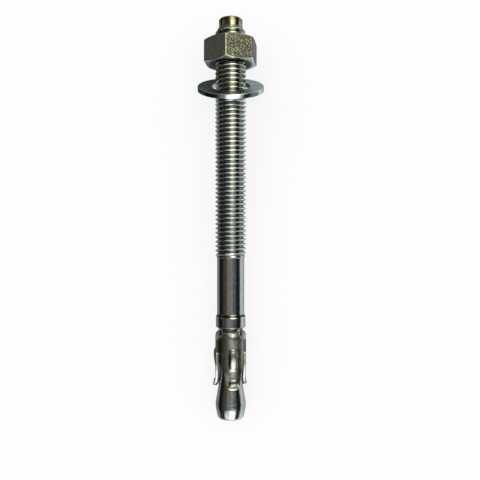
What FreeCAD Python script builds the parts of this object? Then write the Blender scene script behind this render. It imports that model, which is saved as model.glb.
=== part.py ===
import FreeCAD, Part
import math
import os

os.makedirs("parts", exist_ok=True)

# Wedge anchor, millimetres. The anchor is built upright, its tip at height 0 and its axis along Z.
# The last step lays it down with its head towards +Y, on the washer's rim and the cone.
# An azimuth is an angle round the axis. 0 is the side that faces up once the anchor lies down,
# and it grows towards +X.

# Overall and thread
overall_length = 180.0
thread_size = 14.0
thread_allowance = 0.10
thread_length = 101.0
thread_runout = 0.8
dog_length = 4.3
dog_dia = 10.7
dog_edge = 0.5
lead_length = 1.8
lead_foot_dia = 11.1

# Shank, collar and neck
shank_dia = 12.3
collar_dia = 13.4
collar_foot_dia = 11.1
collar_foot_chamfer = 0.9
collar_length = 5.4
collar_flare = 0.9
expansion_end_length = 46.7
neck_dia = 9.4

# Expansion cone and tip
cone_dia = 13.65
cone_land = 2.0
cone_angle = 9.7
tip_taper = 4.1
tip_dia = 11.9
tip_face_dia = 10.2
tip_round = 0.8

# Expansion clip
sheet = 1.30
clip_dia = 13.9
clip_length = 26.0
clip_collar_gap = 0.40
clip_neck_play = 0.10
shoulder_radius = 3.0
shoulder_steps = 5
tongue_count = 3
tongue_azimuth = 10.0
tongue_half_angle = 40.5
slot_top_above_tip = 15.8
slot_corner = 0.9
tongue_end_flare = 0.42
flare_length = 4.4
notch_depth = 2.9
notch_inner_azimuth = 41.0
notch_outer_azimuth = 64.0
notch_apex_azimuth = 38.0
seam_half_angle = 3.5

# Pressed boss and tooth on each tongue
boss_half_angle = 17.0
boss_top_above_tip = 18.0
boss_foot_above_tip = 8.5
boss_height = 0.95
tooth_height = 0.75
tooth_length = 3.3

# Hexagon nut
nut_flats = 22.0
nut_height = 11.0
nut_below_thread_end = 3.5
nut_chamfer_angle = 22.5
nut_face_share = 0.963
nut_bore_clearance = 0.06
nut_countersink = 0.5
nut_corner_azimuth = -10.8

# Washer
washer_dia = 30.0
washer_hole = 17.4
washer_thickness = 2.2
washer_tilt = 29.0
washer_below_nut = 10.4
washer_edge = 0.25

# Heights and radii that follow from the sizes above
thread_r = (thread_size - thread_allowance) / 2
thread_top = overall_length - dog_length - lead_length
thread_foot = thread_top - thread_length
shank_top = thread_foot - thread_runout
collar_foot = expansion_end_length - collar_flare - collar_length
neck_r = neck_dia / 2
cone_r = cone_dia / 2
land_foot = tip_round + tip_taper
land_top = land_foot + cone_land
cone_top = land_top + (cone_r - neck_r) / math.tan(math.radians(cone_angle))
clip_r = clip_dia / 2
clip_inner_r = clip_r - sheet
clip_top = collar_foot - clip_collar_gap
clip_foot = clip_top - clip_length
slot_top = clip_foot + slot_top_above_tip
nut_top = thread_top - nut_below_thread_end
nut_foot = nut_top - nut_height
washer_centre = nut_foot - washer_below_nut
gap_pitch = 360.0 / tongue_count


def face_of(points):
    """A face in the XZ plane from (radius, height) points. A point with a third value starts an arc,
    and the third value is the arc's middle point."""
    edges = []
    for here, there in zip(points, points[1:] + points[:1]):
        start = FreeCAD.Vector(here[0], 0, here[1])
        end = FreeCAD.Vector(there[0], 0, there[1])
        if len(here) == 3:
            middle = FreeCAD.Vector(here[2][0], 0, here[2][1])
            edges.append(Part.Arc(start, middle, end).toShape())
        else:
            edges.append(Part.makeLine(start, end))
    return Part.Face(Part.Wire(edges))


def turned(points, angle=360.0, start=0.0):
    """A solid of revolution about the axis, from the azimuth start through angle."""
    axis = FreeCAD.Vector(0, 0, 1)
    solid = face_of(points).revolve(FreeCAD.Vector(0, 0, 0), axis, angle)
    solid.rotate(FreeCAD.Vector(0, 0, 0), axis, start - 90.0)
    return solid


def radial_block(outline, azimuth, near=2.0, far=10.5):
    """A block whose walls run out from the axis. outline lists (angle off the azimuth, height)."""
    wires = []
    for reach in (near, far):
        corners = []
        for angle, height in outline:
            corners.append(FreeCAD.Vector(reach, reach * math.tan(math.radians(angle)), height))
        corners.append(corners[0])
        wires.append(Part.makePolygon(corners))
    block = Part.makeLoft(wires, True, True)
    block.rotate(FreeCAD.Vector(0, 0, 0), FreeCAD.Vector(0, 0, 1), azimuth - 90.0)
    return block


def shoulder_points(centre, radius, side):
    """The rolled shoulder in straight steps, from its foot up to the radius centre + side."""
    reach = math.acos(side / radius)
    points = []
    for step in range(shoulder_steps + 1):
        turn = reach * step / shoulder_steps
        points.append((centre[0] + radius * math.cos(turn), centre[1] + radius * math.sin(turn)))
    return points


def anchor_bolt():
    """The bar: dog point, lead, thread at its crest size, shank, collar, neck, cone and tip."""
    round_drop = (tip_dia - tip_face_dia) / 2
    middle = (tip_face_dia / 2 + round_drop * 0.72, tip_round * 0.28)
    profile = [
        (0.0, 0.0),
        (tip_face_dia / 2, 0.0, middle),
        (tip_dia / 2, tip_round),
        (cone_r - cone_land * math.tan(lying_rise()), land_foot),
        (cone_r, land_top),
        (neck_r, cone_top),
        (neck_r, collar_foot),
        (collar_foot_dia / 2, collar_foot),
        (collar_dia / 2, collar_foot + collar_foot_chamfer),
        (collar_dia / 2, collar_foot + collar_length),
        (shank_dia / 2, expansion_end_length),
        (shank_dia / 2, shank_top),
        (thread_r, thread_foot),
        (thread_r, thread_top),
        (lead_foot_dia / 2, thread_top + lead_length),
        (dog_dia / 2, thread_top + lead_length),
        (dog_dia / 2, overall_length - dog_edge),
        (dog_dia / 2 - dog_edge, overall_length),
        (0.0, overall_length),
    ]
    return turned(profile)


def clip_blank():
    """The rolled strip before it is punched: a sleeve with a rolled-in top and a flared foot."""
    inner_top_r = neck_r + clip_neck_play
    centre = (clip_r - shoulder_radius, clip_top - shoulder_radius)
    side = inner_top_r - centre[0]
    flared_r = clip_r + tongue_end_flare
    outside = [
        (flared_r - 0.25, clip_foot),
        (flared_r, clip_foot + 0.25),
        (flared_r, clip_foot + 0.3 * flare_length),
        (clip_r, clip_foot + flare_length),
    ]
    inside = [
        (clip_inner_r, clip_foot + flare_length),
        (clip_inner_r + tongue_end_flare, clip_foot + 0.3 * flare_length),
        (clip_inner_r + tongue_end_flare, clip_foot),
    ]
    outer_shoulder = shoulder_points(centre, shoulder_radius, side)
    inner_shoulder = shoulder_points(centre, shoulder_radius - sheet, side)
    inner_shoulder.reverse()
    return turned(outside + outer_shoulder + inner_shoulder + inside)


def slot_outline():
    """Half of the opening between two tongues: narrow above, wide where the tongues taper."""
    half = gap_pitch / 2 - tongue_half_angle
    tongue = [
        (1.00, 10.2),
        (0.95, 8.2),
        (0.82, 5.2),
        (0.68, 2.7),
        (0.56, 1.1),
        (0.44, 0.35),
        (0.30, 0.0),
        (0.20, -1.5),
    ]
    side = []
    steps = 3
    corner_angle = math.degrees(slot_corner / clip_r)
    for step in range(steps + 1):
        turn = math.radians(90.0 * step / steps)
        angle = half - corner_angle * (1 - math.sin(turn))
        side.append((angle, slot_top - slot_corner * (1 - math.cos(turn))))
    for share, height in tongue:
        side.append((gap_pitch / 2 - share * tongue_half_angle, clip_foot + height))
    return side


def slot_block(azimuth):
    """The whole opening at one azimuth."""
    side = slot_outline()
    other = [(-angle, height) for angle, height in reversed(side)]
    return radial_block(side + other, azimuth, 1.6)


def notch_block(direction):
    """A notch in the rolled top edge, on the side given by direction."""
    apex = clip_top - notch_depth
    above = clip_top + 1.0
    middle = (notch_inner_azimuth + notch_outer_azimuth) / 2
    outline = [
        (notch_outer_azimuth + 4.0 - middle, above),
        (notch_outer_azimuth - middle, clip_top - 0.6),
        (notch_outer_azimuth - 11.0 - middle, clip_top - 1.7),
        (notch_apex_azimuth + 2.5 - middle, apex),
        (notch_apex_azimuth - middle, apex + 0.3),
        (notch_inner_azimuth - 1.0 - middle, clip_top - 0.6),
        (notch_inner_azimuth - middle, above),
    ]
    outline = [(direction * angle, height) for angle, height in outline]
    return radial_block(outline, direction * middle)


def seam_block():
    """The gap where the two ends of the strip meet, between the tongues on the far side."""
    outline = [
        (seam_half_angle, slot_top - 2.0),
        (seam_half_angle, clip_top - 1.6),
        (seam_half_angle + 6.0, clip_top + 1.0),
        (-seam_half_angle - 6.0, clip_top + 1.0),
        (-seam_half_angle, clip_top - 1.6),
        (-seam_half_angle, slot_top - 2.0),
    ]
    return radial_block(outline, tongue_azimuth + 180.0)


def boss_profile(rise, low):
    """The pressed-out boss along the tongue. rise shifts its skin outwards or inwards, and low is
    the radius where the block under it ends."""
    foot = clip_foot + boss_foot_above_tip
    length = boss_top_above_tip - boss_foot_above_tip
    shape = [
        (0.00, -0.10),
        (0.12, 0.22),
        (0.30, 0.60),
        (0.50, 0.90),
        (0.64, 1.00),
        (0.76, 0.92),
        (0.87, 0.62),
        (0.95, 0.22),
        (1.00, -0.10),
    ]
    skin = []
    for share, height in shape:
        skin.append((clip_r + rise + boss_height * height, foot + share * length))
    return [(low, foot)] + skin + [(low, foot + length)]


def tooth_profile(rise, low):
    """The pressed-out tooth at the tongue's end, with a steep step on its upper side."""
    top = clip_foot + tooth_length
    out = clip_r + rise
    return [
        (low, clip_foot),
        (out + tooth_height * 0.75, clip_foot),
        (out + tooth_height, clip_foot + 0.35),
        (out + tooth_height, clip_foot + 0.50 * tooth_length),
        (out + tooth_height * 0.80, clip_foot + 0.82 * tooth_length),
        (out - 0.05, top),
        (low, top),
    ]


def rounded_patch(half_angle, foot, top):
    """The outline of a pressed feature: straight sides and a round top, as (angle, height)."""
    radius = clip_r * math.radians(half_angle)
    outline = [(-half_angle, foot), (half_angle, foot)]
    steps = 6
    for step in range(steps + 1):
        turn = math.pi * step / steps
        height = top - radius * 0.8 * (1 - math.sin(turn))
        outline.append((half_angle * math.cos(turn), height))
    return outline


def pressed_tongue(azimuth):
    """What one tongue gains outside and loses inside where it is pressed: (skins, hollows)."""
    foot = clip_foot + boss_foot_above_tip
    top = clip_foot + boss_top_above_tip
    inner_half = boss_half_angle - 5.0
    wide = 2 * boss_half_angle
    narrow = 2 * inner_half
    start = azimuth - boss_half_angle
    inner_start = azimuth - inner_half
    skin_low = clip_r - sheet / 4
    hollow_low = clip_inner_r - 0.5
    skin = turned(boss_profile(0.0, skin_low), wide, start)
    skin = skin.common(radial_block(rounded_patch(boss_half_angle, foot, top), azimuth))
    hollow = turned(boss_profile(-sheet, hollow_low), narrow, inner_start)
    inner_outline = rounded_patch(inner_half, foot - 0.5, top - 0.9)
    hollow = hollow.common(radial_block(inner_outline, azimuth))
    tooth = turned(tooth_profile(0.0, skin_low), wide, start)
    tooth_hollow = turned(tooth_profile(-sheet, hollow_low), narrow, inner_start)
    return [skin, tooth], [hollow, tooth_hollow]


def expansion_clip():
    """The clip: rolled blank, pressed bosses and teeth, then slots, notches and the seam."""
    clip = clip_blank()
    hollows = []
    for number in range(tongue_count):
        skins, inside = pressed_tongue(tongue_azimuth + number * gap_pitch)
        for skin in skins:
            clip = clip.fuse(skin)
        hollows += inside
    for hollow in hollows:
        clip = clip.cut(hollow)
    for number in range(tongue_count):
        clip = clip.cut(slot_block(tongue_azimuth + (number + 0.5) * gap_pitch))
    for direction in (-1, 1):
        clip = clip.cut(notch_block(direction))
    clip = clip.cut(seam_block())
    return clip.removeSplitter()


def hex_nut():
    """The nut: a hexagon turned to its azimuth, bored and countersunk. Both faces have a slightly
    rounded chamfer, part of a ball that starts at the chamfer angle."""
    corner_r = nut_flats / 2 / math.cos(math.radians(30.0))
    corners = []
    for number in range(7):
        turn = math.radians(nut_corner_azimuth - 90.0 + 60.0 * number)
        corners.append(FreeCAD.Vector(corner_r * math.cos(turn), corner_r * math.sin(turn), nut_foot))
    prism = Part.Face(Part.makePolygon(corners)).extrude(FreeCAD.Vector(0, 0, nut_height))
    face_r = nut_face_share * nut_flats / 2
    reach = corner_r + 1.0
    ball_r = face_r / math.sin(math.radians(nut_chamfer_angle))
    drops = []
    for radius in (face_r, (face_r + reach) / 2, reach):
        drops.append(math.sqrt(ball_r ** 2 - face_r ** 2) - math.sqrt(ball_r ** 2 - radius ** 2))
    middle_r = (face_r + reach) / 2
    bore_r = thread_r + nut_bore_clearance
    sink = nut_countersink
    envelope = [
        (bore_r, nut_foot + sink * 0.6),
        (bore_r + sink, nut_foot),
        (face_r, nut_foot, (middle_r, nut_foot + drops[1])),
        (reach, nut_foot + drops[2]),
        (reach, nut_top - drops[2], (middle_r, nut_top - drops[1])),
        (face_r, nut_top),
        (bore_r + sink, nut_top),
        (bore_r, nut_top - sink * 0.6),
    ]
    return prism.common(turned(envelope))


def plain_washer():
    """The washer, tilted on the thread with its upper side towards the tip."""
    outer = washer_dia / 2
    half = washer_thickness / 2
    profile = [
        (washer_hole / 2, -half),
        (outer - washer_edge, -half),
        (outer, washer_edge - half),
        (outer, half - washer_edge),
        (outer - washer_edge, half),
        (washer_hole / 2, half),
    ]
    ring = turned(profile)
    ring.rotate(FreeCAD.Vector(0, 0, 0), FreeCAD.Vector(1, 0, 0), washer_tilt)
    ring.translate(FreeCAD.Vector(0, 0, washer_centre))
    return ring


def washer_low_point():
    """The washer's lowest rim point once the anchor lies down, as (distance from axis, height)."""
    tilt = math.radians(washer_tilt)
    outer = washer_dia / 2
    half = washer_thickness / 2 - washer_edge
    distance = outer * math.cos(tilt) + half * math.sin(tilt)
    height = washer_centre + outer * math.sin(tilt) - half * math.cos(tilt)
    return distance, height


def lying_rise():
    """The angle of the axis above level, when the washer's rim and the cone's land lie on a floor."""
    distance, height = washer_low_point()
    return math.atan2(distance - cone_r, height - land_top)


def lying_placement():
    """Lays the anchor on the washer's rim and the cone, its floor at 0 and its middle at 0."""
    distance, height = washer_low_point()
    rise = lying_rise()
    sine = math.sin(rise)
    cosine = math.cos(rise)
    floor = distance * cosine - height * sine
    head_end = overall_length * cosine + (dog_dia / 2 - dog_edge) * sine
    tip_end = -tip_face_dia / 2 * sine
    turn = FreeCAD.Rotation(FreeCAD.Vector(1, 0, 0), math.degrees(rise) - 90.0)
    shift = FreeCAD.Vector(0, -(head_end + tip_end) / 2, floor)
    return FreeCAD.Placement(shift, turn)


def write_parts():
    """Builds every piece, lays it down and writes it."""
    placement = lying_placement()
    pieces = {
        "anchor_bolt": anchor_bolt(),
        "expansion_clip": expansion_clip(),
        "plain_washer": plain_washer(),
        "hex_nut": hex_nut(),
    }
    for name, shape in pieces.items():
        laid = shape.copy()
        laid.Placement = placement.multiply(laid.Placement)
        laid.exportStep("parts/" + name + ".step")
        box = laid.BoundBox
        print(name, shape.isValid(), len(shape.Solids), round(shape.Volume, 1), box)


write_parts()
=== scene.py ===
import math
import bmesh
import bpy
import numpy as np
from mathutils import Matrix, Vector, geometry


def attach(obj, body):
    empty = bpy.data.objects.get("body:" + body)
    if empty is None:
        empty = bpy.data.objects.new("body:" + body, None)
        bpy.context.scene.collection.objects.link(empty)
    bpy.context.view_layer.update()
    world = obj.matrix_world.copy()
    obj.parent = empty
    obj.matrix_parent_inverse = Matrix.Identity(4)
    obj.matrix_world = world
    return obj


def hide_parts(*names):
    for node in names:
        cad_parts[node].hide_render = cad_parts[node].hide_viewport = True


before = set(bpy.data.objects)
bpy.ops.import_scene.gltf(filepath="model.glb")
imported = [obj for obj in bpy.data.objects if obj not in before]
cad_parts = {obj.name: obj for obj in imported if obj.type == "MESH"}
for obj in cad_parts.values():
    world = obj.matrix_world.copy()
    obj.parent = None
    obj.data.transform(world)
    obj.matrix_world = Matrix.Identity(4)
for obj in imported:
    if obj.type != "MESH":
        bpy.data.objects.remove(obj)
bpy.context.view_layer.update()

# Wedge anchor, millimetres, in the anchor's own frame: tip at height 0, axis along Z.
# An azimuth is an angle round the axis. 0 faces the camera and it grows to the right.
overall_length = 180.0
shank_top = 72.1
lead_top = 175.7
lead_r = 5.55
dog_r = 5.35
dog_chamfer = 0.5
shank_r = 6.15
collar_r = 6.70
collar_foot = 40.4
collar_top = 45.8
collar_end = 46.7
neck_r = 4.70
cone_r = 6.825
land_foot = 4.9
land_top = 6.9
cone_top = 19.334
tip_r = 5.95
tip_face_r = 5.10
tip_round = 0.8
tip_hollow = 0.12
head_hollow = 0.02
bolt_columns = 96

# The crest and the root are half flats and the steps are mesh rows, all as shares of a turn.
thread_r = 6.95
thread_pitch = 2.0
thread_depth = 1.15
thread_foot = 72.9
thread_top = 173.9
thread_crest = 0.04
thread_root = 0.03
thread_steps = [-0.47, -0.41, -0.34, -0.26, -0.18, -0.11, -0.05,
                0.05, 0.11, 0.18, 0.26, 0.34, 0.41, 0.47]
runout_crest_r = 6.42
runout_root_r = 6.36
runout_length = 1.4
runout_slope = 0.9

sheet = 1.30
clip_r = 6.95
clip_foot = 14.0
shoulder_radius = 3.0
shoulder_foot = 37.0
shoulder_end = 61.0
tongue_azimuth = 10.0
tongue_half_angle = 40.5
slot_top = 29.8
boss_foot = 22.5
boss_top = 32.0
boss_half_angle = 17.5
boss_height = 0.95
tooth_top = 17.3
tooth_height = 0.75
ridge_height = 18.1
ridge_rise = 0.16
crease_depth = 0.07
seam_half_angle = 3.5
foot_flare = 0.42
cut_edge = 0.20
outline_spacing = 0.26
sheet_spacing = 0.24
fine_spacing = 0.06
least_spacing = 0.045
edge_margin = 0.13
edge_clear = 0.12
# Painted highlight on the clip's cut edges.
painted_edge_highlight = 0.75

nut_flats = 22.0
nut_foot = 159.4
nut_top = 170.4
nut_face_r = 10.593
nut_chamfer_angle = 22.5
nut_corner_azimuth = -10.8
nut_corner_round = 0.45
nut_clearance = 0.12
nut_bore_r = 5.98
nut_mouth_r = 7.5
nut_mouth_slope = 1.3
nut_offsets = [-30.0, -29.0, -27.9, -26.5, -22.0, -15.0, -7.5, 0.0, 7.5, 15.0, 22.0, 26.5, 27.9, 29.0]

washer_r = 15.0
washer_hole_r = 8.7
washer_thickness = 2.2
washer_tilt = 29.0
washer_centre = 149.0
washer_edge = 0.25
washer_columns = 128
# Places of painted highlights on the washer's rim: azimuth and half width in degrees.
washer_rim_highlights = [(6.0, 13.0), (-52.0, 5.0), (64.0, 8.0), (118.0, 16.0), (171.0, 10.0), (-102.0, 14.0)]


def lying():
    """The rise of the axis, the height of its foot and its shift along the floor."""
    tilt = math.radians(washer_tilt)
    half = washer_thickness / 2 - washer_edge
    distance = washer_r * math.cos(tilt) + half * math.sin(tilt)
    height = washer_centre + washer_r * math.sin(tilt) - half * math.cos(tilt)
    rise = math.atan2(distance - cone_r, height - land_top)
    floor = distance * math.cos(rise) - height * math.sin(rise)
    head_end = overall_length * math.cos(rise) + (dog_r - dog_chamfer) * math.sin(rise)
    tip_end = -tip_face_r * math.sin(rise)
    return rise, floor, -(head_end + tip_end) / 2


rise, floor_drop, floor_shift = lying()
rise_sine = math.sin(rise)
rise_cosine = math.cos(rise)


def placed(points):
    """Points of the anchor's own frame, in millimetres, as metres where the anchor lies."""
    points = np.asarray(points, dtype=float)
    out = np.empty_like(points)
    out[..., 0] = points[..., 0]
    out[..., 1] = points[..., 1] * rise_sine + points[..., 2] * rise_cosine + floor_shift
    out[..., 2] = -points[..., 1] * rise_cosine + points[..., 2] * rise_sine + floor_drop
    return out / 1000


def round_the_axis(azimuth, radius, height):
    """Points of the anchor's own frame from azimuths in radians, radii and heights."""
    azimuth, radius, height = np.broadcast_arrays(azimuth, radius, height)
    return np.stack([radius * np.sin(azimuth), -radius * np.cos(azimuth), height], axis=-1)


def azimuth_of(vertices):
    """The azimuths of points of the anchor's own frame, in radians."""
    return np.arctan2(vertices[:, 0], -vertices[:, 1])


def lay_of(azimuth, along):
    """Where streaks lie: a place round the axis and a place along it."""
    return np.stack([np.cos(azimuth), np.sin(azimuth), along], axis=1)


def smooth(low, high, value):
    """0 below low, 1 above high, and a smooth rise between them."""
    share = np.clip((np.asarray(value, dtype=float) - low) / (high - low), 0, 1)
    return share * share * (3 - 2 * share)


def window(value, low, full, fading, high):
    """1 from full to fading, with smooth flanks down to 0 at low and high."""
    return smooth(low, full, value) * smooth(high, fading, value)


def line(value, middle, width):
    """1 at the middle, fading to both sides over about the width."""
    return np.exp(-((value - middle) / width) ** 2)


def filleted(corners, closed=False):
    """A polyline with rounded corners. Each corner is (x, y) or (x, y, radius)."""
    side_share = 0.48
    step_degrees = 14
    straight = 0.01
    points = []
    count = len(corners)
    for index, corner in enumerate(corners):
        here = np.array(corner[:2], dtype=float)
        radius = corner[2] if len(corner) > 2 else 0.0
        if radius <= 0 or not (closed or 0 < index < count - 1):
            points.append(here)
            continue
        before = np.array(corners[index - 1][:2], dtype=float) - here
        after = np.array(corners[(index + 1) % count][:2], dtype=float) - here
        long_before = np.linalg.norm(before)
        long_after = np.linalg.norm(after)
        before = before / long_before
        after = after / long_after
        turn = math.pi - math.acos(max(-1.0, min(1.0, float(np.dot(before, after)))))
        if turn < straight:
            points.append(here)
            continue
        reach = min(radius * math.tan(turn / 2), side_share * long_before, side_share * long_after)
        start = here + before * reach
        end = here + after * reach
        steps = max(2, int(math.ceil(math.degrees(turn) / step_degrees)))
        for step in range(steps + 1):
            share = step / steps
            bend = (1 - share) ** 2 * start + 2 * share * (1 - share) * here + share ** 2 * end
            points.append(bend)
    return points


def new_object(name, vertices, faces, body, nodes, material, lay, rub, sharp=32.0):
    """A smooth-shaded mesh object that stands for CAD nodes and rides on a body.
    lay gives each point's place for streaks, and the next argument gives each point's polish and painted
    highlight above 0 and its painted shade below 0."""
    mesh = bpy.data.meshes.new(name)
    mesh.from_pydata(placed(vertices).tolist(), [], faces)
    attribute = mesh.attributes.new("lay", "FLOAT_VECTOR", "POINT")
    attribute.data.foreach_set("vector", np.asarray(lay, dtype=np.float32).ravel())
    # Polish and painted highlights above 0, painted shade below 0.
    attribute = mesh.attributes.new("rub", "FLOAT", "POINT")
    attribute.data.foreach_set("value", np.asarray(rub, dtype=np.float32).ravel())
    same_place = 2e-7
    no_length = 1e-8
    work = bmesh.new()
    work.from_mesh(mesh)
    bmesh.ops.remove_doubles(work, verts=work.verts, dist=same_place)
    bmesh.ops.dissolve_degenerate(work, edges=work.edges, dist=no_length)
    bmesh.ops.recalc_face_normals(work, faces=work.faces)
    work.to_mesh(mesh)
    work.free()
    mesh.shade_smooth()
    mesh.set_sharp_from_angle(angle=math.radians(sharp))
    mesh.materials.append(material)
    piece = bpy.data.objects.new(name, mesh)
    bpy.context.scene.collection.objects.link(piece)
    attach(piece, body)
    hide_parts(*nodes)


def grid_faces(rows, columns, wrap_rows=False, thread=None):
    """Faces of a grid that closes round its columns, and round its rows if asked. thread gives the
    rows at the foot and at the top of a helix: between them the last column meets the first column
    one turn further up."""
    faces = []
    foot, top = thread or (0, 0)
    low = min(foot, top)
    high = max(foot, top)
    way = 1 if top > foot else -1
    turn = way * len(thread_steps)

    def further(row):
        return min(max(row + turn, low), high) * columns

    for row in range(rows if wrap_rows else rows - 1):
        here = row * columns
        there = ((row + 1) % rows) * columns
        for column in range(columns - 1):
            faces.append((here + column, here + column + 1, there + column + 1, there + column))
        near = here
        far = there
        if low <= row < high:
            near = further(row)
            far = further(row + 1)
        if near == far:
            faces.append((here + columns - 1, near, there + columns - 1))
        else:
            faces.append((here + columns - 1, near, far, there + columns - 1))
    if thread:
        last_of_foot = (foot + 1) * columns - 1
        for row in range(foot, foot + turn, way):
            faces.append((last_of_foot, row * columns, (row + way) * columns))
    return faces


def thread_profile(phase):
    """The depth below the crest as a share of the full depth, for a phase in turns off the crest."""
    off = np.abs(phase - np.round(phase))
    return smooth(thread_crest, 0.5 - thread_root, off)


def thread_rows(foot, top, azimuths):
    """Heights of grid rows that follow the helix from foot to top."""
    first = int(math.floor(foot / thread_pitch)) - 2
    last = int(math.ceil(top / thread_pitch)) + 1
    heights = []
    for turn in range(first, last + 1):
        for step in thread_steps:
            height = thread_pitch * (turn + step + azimuths / (2 * math.pi))
            heights.append(np.clip(height, foot, top))
    keep = [index for index, height in enumerate(heights) if height.max() > foot and height.min() < top]
    return heights[keep[0] - 1:keep[-1] + 2]


def thread_phase(height, azimuths):
    """The phase in turns off the nearest crest, at a height and azimuth."""
    return height / thread_pitch - azimuths / (2 * math.pi)


def bolt_thread_r(height, azimuths):
    """The bolt's radius along its thread, with the fading last turn and the lead's chamfer."""
    full = smooth(thread_foot, thread_foot + runout_length, height)
    crest = runout_crest_r + (thread_r - runout_crest_r) * full
    root = runout_root_r + (thread_r - thread_depth - runout_root_r) * full
    radius = crest + (root - crest) * thread_profile(thread_phase(height, azimuths))
    lead = thread_r - (thread_r - lead_r) * (height - thread_top) / (lead_top - thread_top)
    runout = shank_r + (height - shank_top) * runout_slope
    return np.minimum(np.minimum(radius, np.maximum(lead, lead_r)), runout)


def bolt_profile():
    """Corners of the bar below and above its thread: radius, height and how round the corner is."""
    land_r = cone_r - (land_top - land_foot) * math.tan(rise)
    lower = [
        (2.0, tip_hollow),
        (4.1, 0.0, 1.5),
        (tip_face_r + 0.1, 0.05, 0.5),
        (tip_r, tip_round, 0.6),
        (land_r, land_foot, 1.6),
        (cone_r, land_top, 2.2),
        (neck_r, cone_top, 5.0),
        (neck_r, collar_foot, 0.12),
        (collar_r - 0.95, collar_foot, 0.25),
        (collar_r, collar_foot + 0.8, 0.35),
        (collar_r, collar_top, 2.5),
        (shank_r, collar_end, 2.5),
        (shank_r, shank_top),
    ]
    upper = [
        (lead_r, lead_top),
        (dog_r, lead_top + 0.12, 0.2),
        (dog_r, overall_length - 0.55, 0.5),
        (dog_r - dog_chamfer, overall_length, 0.35),
        (2.0, overall_length - head_hollow),
    ]
    return filleted(lower), filleted(upper)


def bolt_painted_light(vertices):
    """Painted highlights on the thread crests, the tip and the collar's edge, and painted shade in the
    thread's roots and on the chamfer above the collar.
    """
    height = vertices[:, 2]
    reach = np.hypot(vertices[:, 0], vertices[:, 1])
    threaded = (height > thread_foot) & (height < lead_top)
    # Painted highlight on the crests, painted shade in the roots.
    crests = 1.15 * smooth(thread_r - 0.80, thread_r - 0.10, reach) - 0.35
    tip = smooth(2.2, 0.6, height)
    collar_edge = window(height, collar_top - 0.45, collar_top - 0.2, collar_top - 0.1, collar_top + 0.05)
    collar_slope = window(height, collar_top - 0.05, collar_top + 0.1, collar_end, collar_end + 0.3)
    # Painted highlights at the tip and on the collar's edge, painted shade over the collar's chamfer.
    return threaded * crests + 0.8 * tip + 0.9 * collar_edge - 1.0 * collar_slope


def bolt_mesh(material):
    """The whole bar: tip, cone, neck, collar, shank, thread, lead and dog point."""
    columns = bolt_columns
    azimuths = np.arange(columns) * 2 * math.pi / columns
    lower, upper = bolt_profile()
    rings = [round_the_axis(azimuths, radius, height) for radius, height in lower]
    thread_start = len(rings)
    for height in thread_rows(shank_top, lead_top, azimuths):
        rings.append(round_the_axis(azimuths, bolt_thread_r(height, azimuths), height))
    thread = (thread_start, len(rings) - 1)
    rings += [round_the_axis(azimuths, radius, height) for radius, height in upper]
    tip = np.array([[0.0, 0.0, tip_hollow]])
    head = np.array([[0.0, 0.0, overall_length - head_hollow]])
    vertices = np.concatenate([tip] + rings + [head])
    grid = grid_faces(len(rings), columns, False, thread)
    faces = [tuple(index + 1 for index in face) for face in grid]
    end = len(vertices) - 1
    last = 1 + (len(rings) - 1) * columns
    for column in range(columns):
        side = (column + 1) % columns
        faces.append((0, 1 + side, 1 + column))
        faces.append((end, last + column, last + side))
    lay = lay_of(azimuth_of(vertices), vertices[:, 2])
    new_object("bolt_bar", vertices, faces, "bolt", ["anchor_bolt"], material, lay,
               bolt_painted_light(vertices))


def nut_sides():
    """Azimuths and radii round the hexagon, its six corners rounded."""
    azimuths = []
    radii = []
    centre = (nut_flats / 2 - nut_corner_round) / math.cos(math.radians(30))
    for side in range(6):
        for offset in nut_offsets:
            angle = math.radians(offset)
            radius = nut_flats / 2 / math.cos(angle)
            off = math.radians(30) - abs(angle)
            inner = nut_corner_round ** 2 - (centre * math.sin(off)) ** 2
            rounded = centre * math.cos(off) + math.sqrt(max(inner, 0.0))
            if centre * math.sin(off) < nut_corner_round * 0.5:
                radius = min(radius, rounded)
            azimuths.append(math.radians(nut_corner_azimuth + 30 + 60 * side) + angle)
            radii.append(radius)
    return np.array(azimuths), np.array(radii)


def chamfer_drop(radius):
    """How far the nut's chamfer, part of a ball, lies below the nut's end at a radius."""
    ball_r = nut_face_r / math.sin(math.radians(nut_chamfer_angle))
    return math.sqrt(ball_r ** 2 - nut_face_r ** 2) - np.sqrt(ball_r ** 2 - radius ** 2)


def nut_half(radii, top):
    """Rows of one end of the nut, from the bore's mouth out to the flats: radius and height."""
    edge = nut_top if top else nut_foot
    way = -1.0 if top else 1.0
    rows = [
        (nut_mouth_r, 0.0),
        (9.0, 0.0),
        (nut_face_r - 0.12, 0.0),
        (nut_face_r + 0.05, chamfer_drop(nut_face_r + 0.05) + 0.02),
    ]
    for share in (0.35, 0.7):
        radius = nut_face_r + (radii - nut_face_r) * share
        rows.append((radius, chamfer_drop(radius)))
    rows += [
        (radii - 0.16, chamfer_drop(radii - 0.16)),
        (radii - 0.035, chamfer_drop(radii) + 0.05),
        (radii, chamfer_drop(radii) + 0.19),
        (radii, chamfer_drop(radii) + 0.9),
    ]
    return [(radius, edge + way * depth) for radius, depth in rows]


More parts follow.
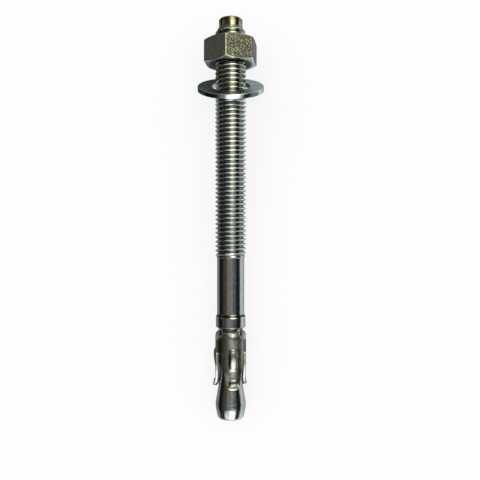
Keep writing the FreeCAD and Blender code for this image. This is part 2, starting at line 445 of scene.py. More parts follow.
def nut_mesh(material):
    """The hexagon nut with rounded edges, chamfers and a real inner thread. The streaks of each
    side lie side_shift further along, so that no two sides look alike."""
    side_shift = 40
    corner_reach = 12.69
    # Painted highlights on the chamfers and, weaker, on the corners.
    painted_chamfer_highlight = 0.9
    painted_corner_highlight = 0.2
    azimuths, radii = nut_sides()
    columns = len(azimuths)
    middle = [(radii, nut_foot + (nut_top - nut_foot) * share) for share in (0.33, 0.67)]
    rings = nut_half(radii, False) + middle + nut_half(radii, True)[::-1]
    points = [round_the_axis(azimuths, radius, height) for radius, height in rings]
    for height in thread_rows(nut_foot, nut_top, azimuths)[::-1]:
        thread = thread_r - thread_depth * thread_profile(thread_phase(height, azimuths))
        radius = np.maximum(thread + nut_clearance, nut_bore_r)
        end = np.minimum(height - nut_foot, nut_top - height)
        radius = np.maximum(radius, nut_mouth_r - end * nut_mouth_slope)
        points.append(round_the_axis(azimuths, radius, height))
    vertices = np.concatenate(points)
    faces = grid_faces(len(points), columns, True, (len(points) - 1, len(rings)))
    around = azimuth_of(vertices)
    side = np.round((np.degrees(around) - nut_corner_azimuth - 30) / 60)
    lay = lay_of(around, vertices[:, 2] + side * side_shift)
    reach = np.hypot(vertices[:, 0], vertices[:, 1])
    off_corner = np.abs((np.degrees(around) - nut_corner_azimuth + 30) % 60 - 30)
    from_end = np.minimum(vertices[:, 2] - nut_foot, nut_top - vertices[:, 2])
    chamfer_end = chamfer_drop(np.minimum(reach, corner_reach)) + 0.12
    # Painted highlights on the chamfered ends and the corners.
    rub = painted_chamfer_highlight * (reach > nut_face_r - 0.2) * (from_end < chamfer_end)
    rub = np.maximum(rub, painted_corner_highlight * (off_corner < 2.5) * (reach > 12))
    new_object("nut_body", vertices, faces, "nut", ["hex_nut"], material, lay, rub,
               sharp=38.0)


def washer_profile():
    """Points round the washer's section, its corners rounded: radius and height off its middle."""
    half = washer_thickness / 2
    profile = filleted([
        (washer_hole_r, -half, 0.35),
        (washer_r - 0.02, -half, 0.42),
        (washer_r, half, 0.42),
        (washer_hole_r, half, 0.22),
    ], True)
    points = []
    for index, point in enumerate(profile):
        points.append(point)
        after = profile[(index + 1) % len(profile)]
        if np.linalg.norm(after - point) > 3:
            for share in (0.03, 0.35, 0.65, 0.97):
                points.append(point + (after - point) * share)
    return points


def washer_mesh(material):
    """The washer: rounded punched edges, tilted on the thread. Its rim has a painted highlight along its
    upper edge and, lower down, painted highlights at listed places (azimuth and half width in degrees)
    and painted shade elsewhere. Its hole has a painted highlight, with painted shade on its right wall
    between two azimuths in radians."""
    wall_start = 0.3
    wall_end = 2.8
    azimuths = np.arange(washer_columns) * 2 * math.pi / washer_columns
    half = washer_thickness / 2
    tilt = math.radians(washer_tilt)
    # Painted highlights at the listed places on the rim, painted shade on the rest of its lower part.
    off = np.degrees(azimuths)[:, None] - np.array(washer_rim_highlights)[:, 0]
    near = np.abs((off + 180) % 360 - 180) / np.array(washer_rim_highlights)[:, 1]
    rim_highlight = smooth(1.35, 0.85, near.min(axis=1))
    right = (azimuths > wall_start) & (azimuths < wall_end)
    rings = []
    lays = []
    wear_and_painted_light_parts = []
    for radius, height in washer_profile():
        # A painted highlight on the rim's upper edge and in the hole, painted shade on the hole's right
        # wall.
        rim = float(smooth(washer_r - 0.35, washer_r - 0.05, radius))
        upper = float(smooth(half - 0.45, half - 0.2, height))
        hole = float(smooth(washer_hole_r + 0.25, washer_hole_r + 0.05, radius))
        hole = hole * np.where(right & (height < half - 0.2), -0.9, 0.6)
        wear_and_painted_light_parts.append(rim * (0.85 * upper + (1 - upper) * (1.75 * rim_highlight - 0.85)) + hole)
        flat = round_the_axis(azimuths, radius, height)
        rings.append(np.stack([
            flat[:, 0],
            flat[:, 1] * math.cos(tilt) - flat[:, 2] * math.sin(tilt),
            flat[:, 1] * math.sin(tilt) + flat[:, 2] * math.cos(tilt) + washer_centre,
        ], axis=1))
        lays.append(lay_of(azimuths, np.full(washer_columns, radius + height)))
    vertices = np.concatenate(rings)
    faces = grid_faces(len(rings), washer_columns, True)
    new_object("washer_ring", vertices, faces, "washer", ["plain_washer"], material,
               np.concatenate(lays), np.concatenate(wear_and_painted_light_parts))


# The clip's sheet is drawn flat: across is the distance round the axis at the middle of the sheet,
# along is the distance up the sheet from its foot.
middle_r = clip_r - sheet / 2
shoulder_along = shoulder_foot - clip_foot
shoulder_middle = shoulder_radius - sheet / 2
top_along = shoulder_along + shoulder_middle * math.radians(shoulder_end)


def across(azimuth):
    return math.radians(azimuth) * middle_r


def along(height):
    """The distance up the sheet for a height of its outer side."""
    if height <= shoulder_foot:
        return height - clip_foot
    turn = math.asin(min((height - shoulder_foot) / shoulder_radius, math.sin(math.radians(shoulder_end))))
    return shoulder_along + shoulder_middle * turn


def boss_depth(off, height):
    """How far a point lies inside a boss, which has straight sides, a straight foot and a round top."""
    arch_share = 0.95
    radius = clip_r * math.radians(boss_half_angle)
    side = np.abs(off) * math.pi / 180 * clip_r
    straight = np.minimum(radius - side, height - boss_foot)
    arch_centre = boss_top - radius * arch_share
    arch = radius - np.hypot(side, (height - arch_centre) / arch_share)
    return np.where(height > arch_centre, arch, straight)


def pressed(azimuth, height):
    """How far the bosses, teeth and ridges stand out of the sheet."""
    out = np.zeros_like(azimuth)
    for number in range(3):
        off = (azimuth - tongue_azimuth - 120 * number + 180) % 360 - 180
        depth = boss_depth(off, height)
        off = np.abs(off)
        lift = window((height - boss_foot) / (boss_top - boss_foot), -0.22, 0.62, 0.66, 1.42)
        boss = lift * smooth(-0.05, 1.15, depth) * (depth > -0.05)
        crease = line(height, boss_foot - 0.05, 0.11) * smooth(18.0, 15.5, off)
        tooth_side = 16.0 + 10.0 * smooth(16.3, 14.9, height)
        tooth = smooth(tooth_top + 0.12, tooth_top - 0.22, height)
        tooth = tooth * (1 - 0.30 * smooth(tooth_top - 1.6, clip_foot - 0.3, height))
        tooth = tooth * smooth(tooth_side + 3.0, tooth_side - 7.0, off)
        ridge = line(height, ridge_height, 0.40) * smooth(17.0, 6.0, off)
        out += boss_height * boss - crease_depth * crease + tooth_height * tooth + ridge_rise * ridge
    return out


def clip_painted_light(azimuth, height):
    """Painted highlights on the clip's outer side, and painted shade where the value is negative.
    off is the angle off the nearest tongue's middle."""
    off = np.abs((azimuth - tongue_azimuth + 60) % 120 - 60)
    boss = smooth(1.3, 0.3, (off / 8.5) ** 2 + ((height - 25.6) / 3.1) ** 2)
    below_boss = smooth(15.0, 4.0, off) * window(height, 18.9, 19.7, 22.4, 23.6)
    tooth = smooth(26.0, 12.0, off) * smooth(tooth_top - 0.35, tooth_top - 0.8, height)
    tooth_foot = 0.4 + 0.6 * smooth(15.4, 16.0, height)
    ridge = line(height, ridge_height, 0.32) * smooth(16.0, 6.0, off)
    tooth_step = line(height, tooth_top, 0.38) * smooth(22.0, 18.0, off)
    boss_side = line(off, boss_half_angle - 2.0, 2.6) * window(height, 23.8, 25.8, 28.4, 30.2)
    lower_side = smooth(12.0, 19.0, off) * smooth(22.5, 20.0, height)
    right_flank = window(azimuth, 24.0, 32.0, 56.0, 62.0) * smooth(24.5, 22.0, height)
    below_shoulder = window(azimuth, -12.0, 2.0, 30.0, 44.0) * window(height, 31.6, 32.6, 35.6, 36.6)
    beside_tongue = smooth(41.0, 48.0, off) * smooth(36.3, 35.3, height)
    shoulder = smooth(50.0, 55.0, off) * line(height, 37.2, 0.7)
    beside_notch = smooth(24.0, 8.0, np.abs(azimuth + 64)) + smooth(20.0, 8.0, np.abs(azimuth - 76))
    beside_notch = beside_notch * line(height, 36.6, 1.0)
    # Painted highlights: on and below the bosses, on the teeth and ridges, low on the tongues' sides,
    # below the front shoulder, on the shoulders and beside the notches.
    bright = 0.95 * boss + 0.75 * below_boss + 0.8 * tooth * tooth_foot + 0.8 * ridge \
        + 0.65 * lower_side + 0.4 * below_shoulder + 0.6 * shoulder + 0.9 * beside_notch
    # Painted shade: on the teeth's upper steps, along the bosses' sides, on the right flank and beside the
    # tongues.
    painted_shade = 1.0 * tooth_step + 0.8 * boss_side + 0.9 * right_flank + 0.45 * beside_tongue
    return bright - painted_shade


def sheet_points(flat, through):
    """Points of the clip for flat points, at a distance out from the middle of the sheet."""
    flat = np.asarray(flat, dtype=float)
    azimuth = flat[:, 0] / middle_r
    run = flat[:, 1]
    turn = np.clip((run - shoulder_along) / shoulder_middle, 0, None)
    height = clip_foot + np.minimum(run, shoulder_along)
    flare = foot_flare * smooth(4.6, 0.8, run)
    out = through + pressed(np.degrees(azimuth), height) * (turn <= 0)
    radius = np.where(turn > 0, clip_r - shoulder_radius, middle_r + flare + out)
    radius = np.where(turn > 0, radius + (shoulder_middle + out) * np.cos(turn), radius)
    height = np.where(turn > 0, height + (shoulder_middle + out) * np.sin(turn), height)
    return round_the_axis(azimuth, radius, height)


def spline(points, spacing):
    """A smooth curve through points, sampled about every spacing."""
    points = [np.array(point, dtype=float) for point in points]
    ends = [2 * points[0] - points[1]] + points + [2 * points[-1] - points[-2]]
    out = []
    for index in range(1, len(ends) - 2):
        before, start, end, after = ends[index - 1:index + 3]
        steps = max(1, int(round(np.linalg.norm(end - start) / spacing)))
        for step in range(steps):
            share = step / steps
            out.append(0.5 * (2 * start + (end - before) * share
                              + (2 * before - 5 * start + 4 * end - after) * share ** 2
                              + (3 * start - before - 3 * end + after) * share ** 3))
    out.append(points[-1])
    return out


def tongue_side():
    """Half of a tongue's edge, from its upper part to its foot: (angle off its middle, height)."""
    steps = [(1.00, 12.2), (1.00, 10.2), (0.95, 8.2), (0.83, 5.2), (0.70, 3.0), (0.57, 1.45),
             (0.40, 0.50), (0.20, 0.08), (0.0, 0.02)]
    return spline([(share * tongue_half_angle, height) for share, height in steps], 0.6)


def clip_outline():
    """The flat sheet's outline, counterclockwise from the top of its left end."""
    start = tongue_azimuth - 180.0
    end = tongue_azimuth + 180.0
    slot = along(slot_top)
    seam_top = along(38.6)
    corners = [
        (across(start + seam_half_angle + 5.0), top_along, 0.3),
        (across(start + seam_half_angle), seam_top, 0.8),
        (across(start + seam_half_angle), slot, 0.5),
    ]
    side = tongue_side()
    for number in range(3):
        middle = start + 60 + 120 * number
        corners.append((across(middle - tongue_half_angle), slot, 0.9))
        corners += [(across(middle - angle), height) for angle, height in side]
        corners += [(across(middle + angle), height) for angle, height in side[-2::-1]]
        corners.append((across(middle + tongue_half_angle), slot, 0.9))
    corners += [
        (across(end - seam_half_angle), slot, 0.5),
        (across(end - seam_half_angle), seam_top, 0.8),
        (across(end - seam_half_angle - 5.0), top_along, 0.3),
    ]
    notch = [
        (69.0, top_along, 0.5),
        (62.5, along(39.1), 0.8),
        (53.0, along(38.3), 1.5),
        (41.5, along(37.1), 0.45),
        (37.6, along(37.3), 0.35),
        (39.3, along(38.5), 0.8),
        (41.0, top_along, 0.5),
    ]
    corners += [(across(angle), run, radius) for angle, run, radius in notch]
    corners += [(across(-angle), run, radius) for angle, run, radius in reversed(notch)]
    return corners


def even(points, spacing):
    """A closed polyline with a point about every spacing, corners kept."""
    out = []
    for index, point in enumerate(points):
        after = points[(index + 1) % len(points)]
        gap = np.linalg.norm(after - point)
        if gap < 0.02:
            continue
        steps = max(1, int(round(gap / spacing)))
        for step in range(steps):
            out.append(point + (after - point) * step / steps)
    return np.array(out)


def outward(points):
    """Unit normals that point out of a counterclockwise closed polyline."""
    ahead = np.roll(points, -1, axis=0) - np.roll(points, 1, axis=0)
    ahead /= np.linalg.norm(ahead, axis=1)[:, None]
    return np.stack([ahead[:, 1], -ahead[:, 0]], axis=1)


def inside(points, outline):
    """Which points lie inside a closed polyline."""
    result = np.zeros(len(points), dtype=bool)
    after = np.roll(outline, -1, axis=0)
    for (x0, y0), (x1, y1) in zip(outline, after):
        if y0 == y1:
            continue
        crosses = (points[:, 1] > min(y0, y1)) & (points[:, 1] <= max(y0, y1))
        where = x0 + (points[:, 1] - y0) * (x1 - x0) / (y1 - y0)
        result ^= crosses & (points[:, 0] < where)
    return result


def sheet_grid(inset, margin):
    """Points inside the flat sheet and how near each is to its edge. They stand in staggered rows,
    which lie closer together where the teeth and the bosses begin."""
    levels = set(np.round(np.arange(sheet_spacing, top_along, sheet_spacing), 4).tolist())
    for centre, reach in ((tooth_top - clip_foot, 0.40), (boss_foot - clip_foot, 0.35)):
        levels |= set(np.round(np.arange(centre - reach, centre + reach, fine_spacing), 4).tolist())
    columns = np.arange(inset[:, 0].min(), inset[:, 0].max(), sheet_spacing)
    rows = []
    last = -1.0
    for level in sorted(levels):
        if level - last < least_spacing:
            continue
        last = level
        shift = sheet_spacing / 2 if len(rows) % 2 else 0.0
        rows.append(np.stack([columns + shift, np.full(len(columns), level)], axis=1))
    grid = np.concatenate(rows)
    grid = grid[inside(grid, margin)]
    near = np.full(len(grid), math.inf)
    for point in inset:
        near = np.minimum(near, np.hypot(grid[:, 0] - point[0], grid[:, 1] - point[1]))
    return grid[near > edge_clear], near[near > edge_clear]


def sheet_painted_light(flat, edge_count, near):
    """Painted light on the sheet's outer side. The first edge_count points are its edge, the others lie
    inside, near to the edge by near."""
    rub = clip_painted_light(np.degrees(flat[:, 0] / middle_r), clip_foot + flat[:, 1])
    run = flat[edge_count:, 1]
    slot_foot = slot_top - clip_foot
    beside = smooth(slot_foot, slot_foot - 2, run) * smooth(6.5, 9.0, run)
    # Painted shade just inside the edges beside the slots.
    rub[edge_count:] -= 0.55 * smooth(0.75, 0.25, near) * beside
    # Painted highlight just inside the edges near the foot.
    rub[edge_count:] += 0.8 * smooth(0.60, 0.25, near) * smooth(3.5, 2.0, run)
    # Painted highlight on the cut edge.
    rub[:edge_count] = painted_edge_highlight
    return rub


def clip_mesh(material):
    """The clip: a sheet with bosses, teeth, a rolled shoulder and rounded cut edges."""
    outline = even(filleted(clip_outline(), True), outline_spacing)
    normals = outward(outline)
    inset = outline - normals * cut_edge
    grid, near = sheet_grid(inset, outline - normals * (cut_edge + edge_margin))
    count = len(inset)
    loop = [(index, (index + 1) % count) for index in range(count)]
    points = [Vector(point) for point in np.concatenate([inset, grid]).tolist()]
    inside_only = 1
    same_place = 1e-6
    result = geometry.delaunay_2d_cdt(points, loop, [], inside_only, same_place)
    flat = np.array([list(point) for point in result[0]])
    triangles = [tuple(face) for face in result[2]]
    total = len(flat)
    if total != count + len(grid):
        raise SystemExit("the clip's outline crosses itself")
    vertices = [sheet_points(flat, sheet / 2), sheet_points(flat, -sheet / 2)]
    wear_and_painted_light_parts = [sheet_painted_light(flat, count, near), np.zeros(total)]
    faces = triangles + [tuple(total + index for index in face[::-1]) for face in triangles]
    walls = [(cut_edge * 0.38, sheet / 2 - cut_edge * 0.22), (0.0, sheet / 2 - cut_edge)]
    walls += [(inward, -through) for inward, through in walls[::-1]]
    rows = [list(range(count))]
    start = 2 * total
    for inward, through in walls:
        vertices.append(sheet_points(outline - normals * inward, through))
        # The walls of the cut edges carry the same painted highlight.
        wear_and_painted_light_parts.append(np.full(count, painted_edge_highlight))
        rows.append(list(range(start, start + count)))
        start += count
    rows.append(list(range(total, total + count)))
    for upper, lower in zip(rows, rows[1:]):
        for index in range(count):
            side = (index + 1) % count
            faces.append((upper[index], lower[index], lower[side], upper[side]))
    vertices = np.concatenate(vertices)
    lay = lay_of(azimuth_of(vertices), vertices[:, 2])
    new_object("clip_sheet", vertices, faces, "clip", ["expansion_clip"], material, lay,
               np.concatenate(wear_and_painted_light_parts), sharp=40.0)


class Nodes:
    """A small helper that adds and links the nodes of one material or of the world."""

    def __init__(self, owner, output):
        owner.use_nodes = True
        self.owner = owner
        self.tree = owner.node_tree
        self.tree.nodes.clear()
        self.output = self.tree.nodes.new(output)

    def feed(self, socket, value):
        """Links a socket to another one, or sets its number, vector or colour."""
        if isinstance(value, bpy.types.NodeSocket):
            self.tree.links.new(value, socket)
        elif socket.type == "RGBA":
            socket.default_value = tuple(value) + (1.0,)
        else:
            socket.default_value = value

    def node(self, kind, inputs=None, **settings):
        node = self.tree.nodes.new(kind)
        for key, value in settings.items():
            setattr(node, key, value)
        for key, value in (inputs or {}).items():
            self.feed(node.inputs[key], value)
        return node

    def surface(self, shader):
        self.tree.links.new(shader, self.output.inputs["Surface"])
        return self.owner

    def maths(self, operation, first, second=0.0):
        return self.node("ShaderNodeMath", {0: first, 1: second}, operation=operation).outputs[0]

    def place(self, kind="Object"):
        return self.node("ShaderNodeTexCoord").outputs[kind]

    def parts(self, vector):
        return self.node("ShaderNodeSeparateXYZ", {"Vector": vector}).outputs

    def attribute(self, name, output):
        return self.node("ShaderNodeAttribute", attribute_name=name).outputs[output]

    def stretched(self, vector, scale):
        return self.node("ShaderNodeMapping", {"Vector": vector, "Scale": scale}).outputs["Vector"]

    def noise(self, vector, scale, detail, roughness):
        inputs = {"Vector": vector, "Scale": scale, "Detail": detail, "Roughness": roughness}
        return self.node("ShaderNodeTexNoise", inputs).outputs["Fac"]

    def spread(self, value, low, high, to_low=0.0, to_high=1.0):
        """A value from low to high, spread over another range and kept in it."""
        inputs = {"Value": value, "From Min": low, "From Max": high, "To Min": to_low, "To Max": to_high}
        return self.node("ShaderNodeMapRange", inputs).outputs["Result"]

    def ramp(self, value, stops):
        """Colours along a value. Each stop is a place from 0 to 1 and a colour."""
        node = self.node("ShaderNodeValToRGB", {"Fac": value})
        elements = node.color_ramp.elements
        while len(elements) < len(stops):
            elements.new(0.5)
        for element, (place, colour) in zip(elements, stops):
            element.position = place
            element.color = tuple(colour) + (1.0,)
        return node.outputs["Color"]

    def mix(self, share, first, second, kind="MIX"):
        inputs = {0: share, 6: first, 7: second}
        return self.node("ShaderNodeMix", inputs, data_type="RGBA", blend_type=kind).outputs[2]

    def bump(self, value, strength, distance, normal=None):
        inputs = {"Height": value, "Strength": strength, "Distance": distance}
        if normal is not None:
            inputs["Normal"] = normal
        return self.node("ShaderNodeBump", inputs).outputs["Normal"]

    def rays(self):
        """Light Path's outputs, and 1 for a glossy or transmission ray."""
        rays = self.node("ShaderNodeLightPath").outputs
        return rays, self.maths("MAXIMUM", rays["Is Glossy Ray"], rays["Is Transmission Ray"])


def new_material(name):
    return Nodes(bpy.data.materials.new(name), "ShaderNodeOutputMaterial")


def speckled(shader, colour, fine, rough_side):
    """Dark pits and bright grains, strong on the rough side and weak elsewhere."""
    specks = shader.ramp(fine, [
        (0.40, (0.06, 0.06, 0.05)),
        (0.52, (0.27, 0.26, 0.21)),
        (0.60, (0.64, 0.62, 0.50)),
        (0.72, (1.8, 1.75, 1.45)),
    ])
    return shader.mix(shader.spread(rough_side, 0.0, 1.0, 0.25, 0.95), colour, specks, "MULTIPLY")


def knocked(shader, colour, place, height):
    """Brown scuffs on the dog point, and a darker ring near its end."""
    blotches = shader.spread(shader.noise(place, 520.0, 3.0, 0.65), 0.42, 0.62, 0.0, 0.75)
    head_end = shader.spread(height, lead_top - 0.5, lead_top + 0.5)
    blotches = shader.maths("MULTIPLY", blotches, head_end)
    ring_foot = shader.spread(height, 177.2, 178.2, 0.0, 0.8)
    ring_top = shader.spread(height, 179.6, 179.95, 0.8, 0.15)
    dark_ring = shader.maths("MINIMUM", ring_foot, ring_top)
    return shader.mix(shader.maths("MAXIMUM", blotches, dark_ring), colour, (0.17, 0.15, 0.095))


def plated(name, tones, streak_tone, polish_and_painted_highlight_tone, painted_shade_tone, edge, rough, streaks, streak_share, grain,
           grain_size, rough_side=None, warm=None):
    """Plated steel: blotchy tones from dark to light, drawn or turned streaks, a fine grain, brighter
    with polish and painted highlights, and darker with painted shade in its grooves and other places,
    as the mesh's per-point values say. rough_side gives two places along the streaks: sides of the nut
    that lie beyond them, its front and right ones, are rough. warm gives two heights and the tint that
    the bar takes on from one to the other; it also brings scuffs and dents."""
    shader = new_material(name)
    place = shader.place()
    lay = shader.attribute("lay", "Vector")
    height = shader.parts(lay)["Z"]
    blotch = shader.noise(place, 420.0, 4.0, 0.6)
    streak = shader.noise(shader.stretched(lay, streaks), 1.0, 3.0, 0.6)
    fine = shader.noise(place, grain_size, 2.0, 0.6)
    colour = shader.ramp(blotch, list(zip((0.30, 0.52, 0.72), tones)))
    colour = shader.mix(shader.spread(streak, 0.38, 0.62, 0.0, streak_share), colour, streak_tone)
    if rough_side:
        side = shader.spread(height, rough_side[0], rough_side[1])
        colour = speckled(shader, colour, fine, side)
        grain = shader.spread(side, 0.0, 1.0, 0.10, grain)
    if warm:
        tint = shader.spread(height, warm[0], warm[1])
        colour = shader.mix(tint, colour, warm[2], "MULTIPLY")
        colour = knocked(shader, colour, place, height)
    # Polish and painted highlights where the per-point values are above 0, painted shade where they are
    # below 0.
    rub = shader.attribute("rub", "Fac")
    colour = shader.mix(shader.spread(rub, 0.0, 1.0), colour, polish_and_painted_highlight_tone)
    colour = shader.mix(shader.spread(rub, -1.0, 0.0, 1.0, 0.0), colour, painted_shade_tone)
    roughness = shader.spread(shader.noise(place, 900.0, 3.0, 0.6), 0.3, 0.7, rough[0], rough[1])
    normal = shader.bump(fine, grain, 0.00006)
    if warm:
        tip = shader.spread(height, 5.0, 7.5, 1.0, 0.0)
        dents = shader.maths("MULTIPLY", shader.noise(place, 330.0, 2.0, 0.5), tip)
        normal = shader.bump(dents, 1.0, 0.00012, normal)
    normal = shader.bump(streak, 0.25, 0.00003, normal)
    return shader.surface(shader.node("ShaderNodeBsdfPrincipled", {
        "Base Color": colour,
        "Metallic": 1.0,
        "Roughness": roughness,
        "Normal": normal,
        "Specular Tint": edge,
    }).outputs["BSDF"])


def bolt_material():
    return plated(
        "bolt_zinc", tones=[(0.44, 0.47, 0.48), (0.50, 0.53, 0.54), (0.57, 0.58, 0.55)],
        streak_tone=(0.40, 0.40, 0.36), polish_and_painted_highlight_tone=(0.80, 0.83, 0.82), painted_shade_tone=(0.06, 0.07, 0.06),
        edge=(0.42, 0.46, 0.46), rough=(0.10, 0.20), streaks=(14.0, 14.0, 0.35), streak_share=0.35,
        grain=0.45, grain_size=1500.0, warm=(110.0, 172.0, (1.0, 0.97, 0.74)))


def nut_material():
    return plated(
        "nut_zinc", tones=[(0.30, 0.31, 0.29), (0.38, 0.38, 0.35), (0.44, 0.44, 0.40)],
        streak_tone=(0.30, 0.31, 0.29), polish_and_painted_highlight_tone=(0.80, 0.81, 0.79), painted_shade_tone=(0.12, 0.12, 0.11),
        edge=(0.42, 0.43, 0.48), rough=(0.18, 0.30), streaks=(3.0, 3.0, 2.0), streak_share=0.45,
        grain=0.8, grain_size=1900.0, rough_side=(146.0, 150.0))


def washer_material():
    return plated(
        "washer_zinc", tones=[(0.46, 0.52, 0.52), (0.58, 0.64, 0.64), (0.74, 0.80, 0.79)],
        streak_tone=(0.27, 0.32, 0.32), polish_and_painted_highlight_tone=(0.80, 0.82, 0.79), painted_shade_tone=(0.12, 0.13, 0.13),
        edge=(0.40, 0.44, 0.43), rough=(0.18, 0.32), streaks=(11.0, 11.0, 0.03), streak_share=0.85,
        grain=0.35, grain_size=1500.0)


def clip_material():
    return plated(
        "clip_steel", tones=[(0.28, 0.285, 0.255), (0.40, 0.405, 0.370), (0.54, 0.535, 0.490)],
        streak_tone=(0.14, 0.14, 0.12), polish_and_painted_highlight_tone=(0.80, 0.80, 0.74), painted_shade_tone=(0.06, 0.06, 0.05),
        edge=(0.28, 0.28, 0.26), rough=(0.24, 0.40), streaks=(6.0, 6.0, 2.2), streak_share=0.80,
        grain=0.8, grain_size=1700.0)


def floor_material():
    """A plain white floor that keeps the object's soft shadow. Metal shows it white on its right
    and in painted half shade on its left, with more painted shade beside the nut and washer. Places are in
    metres."""
    left_end = -0.06
    right_end = 0.01
    foot_end = 0.055
    head_end = 0.095
    black = (0.0, 0.0, 0.0)
    white = (1.0, 1.0, 1.0)
    shader = new_material("floor_white")
    rays, shiny = shader.rays()
    share = shader.maths("MAXIMUM", shader.maths("MULTIPLY", rays["Is Camera Ray"], 0.80), shiny)
    matte = shader.node("ShaderNodeBsdfDiffuse", {"Color": (0.95, 0.95, 0.95)}).outputs[0]
    place = shader.parts(shader.place())
    # Painted shade that glossy rays see on the floor, by place across it.
    shades = [
        (left_end, (0.008, 0.009, 0.009)),
        (-0.042, (0.050, 0.056, 0.060)),
        (-0.029, (0.290, 0.320, 0.330)),
        (-0.018, (0.450, 0.480, 0.495)),
        (-0.005, (0.520, 0.550, 0.560)),
        (right_end, (0.860, 0.880, 0.880)),
    ]
    width = right_end - left_end
    shade = shader.ramp(shader.spread(place["X"], left_end, right_end),
                        [((x - left_end) / width, colour) for x, colour in shades])
    # More painted shade on the left, beside the nut and washer.
    left = shader.spread(place["X"], -0.005, 0.005, 0.8, 0.0)
    head = shader.ramp(shader.spread(place["Y"], foot_end, head_end),
                       [(0.0, black), (0.4, white), (0.6, white), (0.8, black)])
    shade = shader.mix(shader.maths("MULTIPLY", left, head), shade, black)
    tone = shader.mix(rays["Is Camera Ray"], shade, white)
    light = shader.node("ShaderNodeEmission", {"Color": tone, "Strength": 1.0}).outputs[0]
    return shader.surface(shader.node("ShaderNodeMixShader", {0: share, 1: matte, 2: light}).outputs[0])


def floor():
    size = 3.0
    mesh = bpy.data.meshes.new("floor")
    corners = [(-size, -size, 0.0), (size, -size, 0.0), (size, size, 0.0), (-size, size, 0.0)]
    mesh.from_pydata(corners, [], [(0, 1, 2, 3)])
    mesh.materials.append(floor_material())
    piece = bpy.data.objects.new("floor", mesh)
    bpy.context.scene.collection.objects.link(piece)


# What metal shows of the room. Each stop is an angle round the anchor, in degrees to the right of
# straight above it, and a colour. From the tip's end to the head's end, the bands that lie along
# the anchor are foot, near, room, strip and top.
room_band = [
    (-90, (0.002, 0.003, 0.003)),
    (-74, (0.003, 0.003, 0.003)),
    (-65, (0.026, 0.018, 0.010)),
    (-52, (0.040, 0.030, 0.016)),
    (-34, (0.044, 0.032, 0.018)),
    (-29, (0.095, 0.102, 0.106)),
    (14, (0.108, 0.113, 0.114)),
    (21, (0.052, 0.050, 0.045)),
    (42, (0.046, 0.048, 0.046)),
    (49, (0.003, 0.005, 0.006)),
    (80, (0.003, 0.005, 0.006)),
    (90, (0.320, 0.340, 0.350)),
]
strip_band = [
    (-90, (0.088, 0.090, 0.084)),
    (-72, (0.072, 0.070, 0.060)),
    (-60, (0.030, 0.026, 0.016)),
    (-34, (0.026, 0.022, 0.012)),
    (-14, (0.060, 0.052, 0.032)),
    (-4, (0.36, 0.35, 0.25)),
    (6, (1.40, 1.40, 1.12)),
    (22, (1.40, 1.40, 1.10)),
    (32, (0.72, 0.72, 0.56)),
    (43, (0.55, 0.55, 0.44)),
    (50, (0.012, 0.012, 0.010)),
    (82, (0.005, 0.005, 0.005)),
    (92, (0.210, 0.220, 0.230)),
]
top_band = [
    (-90, (0.010, 0.010, 0.010)),
    (-70, (0.240, 0.250, 0.240)),
    (-12, (0.300, 0.310, 0.290)),
    (-2, (0.950, 0.960, 0.860)),
    (22, (0.950, 0.960, 0.860)),
    (36, (0.480, 0.490, 0.430)),
    (50, (0.280, 0.290, 0.280)),
    (86, (0.240, 0.250, 0.250)),
]
near_band = [
    (-90, (0.010, 0.010, 0.010)),
    (-57, (0.012, 0.012, 0.010)),
    (-46, (0.160, 0.158, 0.146)),
    (-8, (0.220, 0.218, 0.208)),
    (2, (0.800, 0.810, 0.780)),
    (40, (0.800, 0.810, 0.780)),
    (50, (0.020, 0.020, 0.020)),
    (80, (0.010, 0.010, 0.010)),
    (90, (0.280, 0.290, 0.300)),
]
foot_band = [
    (-90, (0.280, 0.290, 0.300)),
    (-84, (0.005, 0.005, 0.005)),
    (-62, (0.005, 0.005, 0.005)),
    (-52, (0.400, 0.410, 0.420)),
    (-20, (0.420, 0.430, 0.440)),
    (-8, (0.850, 0.870, 0.870)),
    (22, (0.850, 0.870, 0.870)),
    (38, (0.500, 0.515, 0.530)),
    (47, (0.006, 0.006, 0.008)),
    (80, (0.006, 0.006, 0.008)),
    (90, (0.280, 0.290, 0.300)),
]


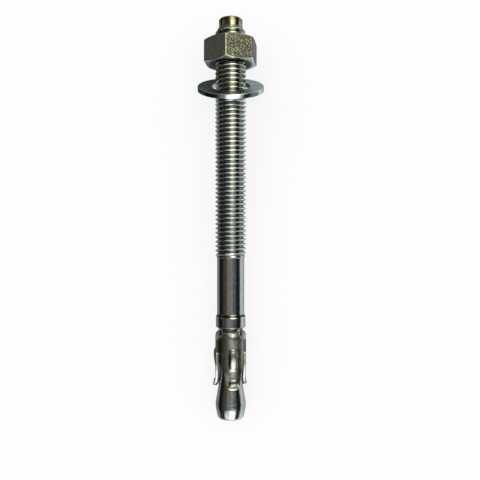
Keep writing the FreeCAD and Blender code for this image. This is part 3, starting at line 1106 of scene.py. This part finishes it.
def studio_world():
    """White for the camera, an even light for matt surfaces, and a plain studio for metal to show:
    a dark room behind the camera with pale panels above, below and beside the object."""
    panel_strength = 2.5
    world = bpy.data.worlds.new("studio")
    bpy.context.scene.world = world
    sky = Nodes(world, "ShaderNodeOutputWorld")
    way = sky.parts(sky.place("Generated"))
    side = sky.maths("ARCTAN2", way["X"], way["Z"])
    side = sky.maths("ADD", sky.maths("DIVIDE", side, 2 * math.pi), 0.5)
    tall = sky.maths("ADD", sky.maths("DIVIDE", sky.maths("ARCSINE", way["Y"]), math.pi), 0.5)

    def band(stops):
        return sky.ramp(side, [(degrees / 360 + 0.5, colour) for degrees, colour in stops])

    def rising(low, high, first=0, last=1):
        """From first to last between two angles towards the head's end, off straight across."""
        return sky.ramp(tall, [(low / 180 + 0.5, (first,) * 3), (high / 180 + 0.5, (last,) * 3)])

    studio = sky.mix(rising(2, 6), band(room_band), band(strip_band))
    studio = sky.mix(rising(46, 58), studio, band(top_band))
    studio = sky.mix(rising(-32, -25, 1, 0), studio, band(near_band))
    studio = sky.mix(rising(-42, -37, 1, 0), studio, band(foot_band))
    rays, shiny = sky.rays()
    plain = sky.mix(rays["Is Camera Ray"], (0.78, 0.78, 0.78), (0.95, 0.95, 0.95))
    strength = sky.maths("ADD", sky.maths("MULTIPLY", shiny, panel_strength - 1), 1.0)
    colour = sky.mix(shiny, plain, studio)
    sky.surface(sky.node("ShaderNodeBackground", {"Color": colour, "Strength": strength}).outputs[0])


def softbox(name, place, power):
    """A square lamp that is aimed at the middle of the floor and isn't seen in metal."""
    side = 0.9
    lamp = bpy.data.lights.new(name, "AREA")
    lamp.shape = "RECTANGLE"
    lamp.size = side
    lamp.size_y = side
    lamp.energy = power
    piece = bpy.data.objects.new(name, lamp)
    bpy.context.scene.collection.objects.link(piece)
    piece.location = place
    piece.rotation_euler = (-Vector(place)).to_track_quat("-Z", "Y").to_euler()
    piece.visible_glossy = False


def camera():
    """The photo's view: straight down on the lying anchor, its head up in the picture."""
    eye_height = 82.5
    distance = 250.9
    picture = 480
    data = bpy.data.cameras.new("camera")
    data.sensor_width = 36.0
    data.lens = 41.55
    data.shift_x = 9.3 / picture
    data.shift_y = -5.0 / picture
    data.clip_start = 0.01
    data.clip_end = 20.0
    piece = bpy.data.objects.new("camera", data)
    bpy.context.scene.collection.objects.link(piece)
    right = Vector((1.0, 0.0, 0.0))
    up = Vector((0.0, rise_cosine, rise_sine))
    back = right.cross(up)
    place = Vector(placed([0.0, -distance, eye_height]))
    piece.matrix_world = Matrix((
        (right.x, up.x, back.x, place.x),
        (right.y, up.y, back.y, place.y),
        (right.z, up.z, back.z, place.z),
        (0.0, 0.0, 0.0, 1.0),
    ))
    bpy.context.scene.camera = piece


bolt_mesh(bolt_material())
clip_mesh(clip_material())
nut_mesh(nut_material())
washer_mesh(washer_material())
floor()
studio_world()
softbox("softbox_left", (-0.7, 0.25, 1.0), 3.0)
softbox("softbox_right", (0.7, 0.1, 1.0), 2.0)
camera()
bpy.context.scene.view_settings.view_transform = "Standard"
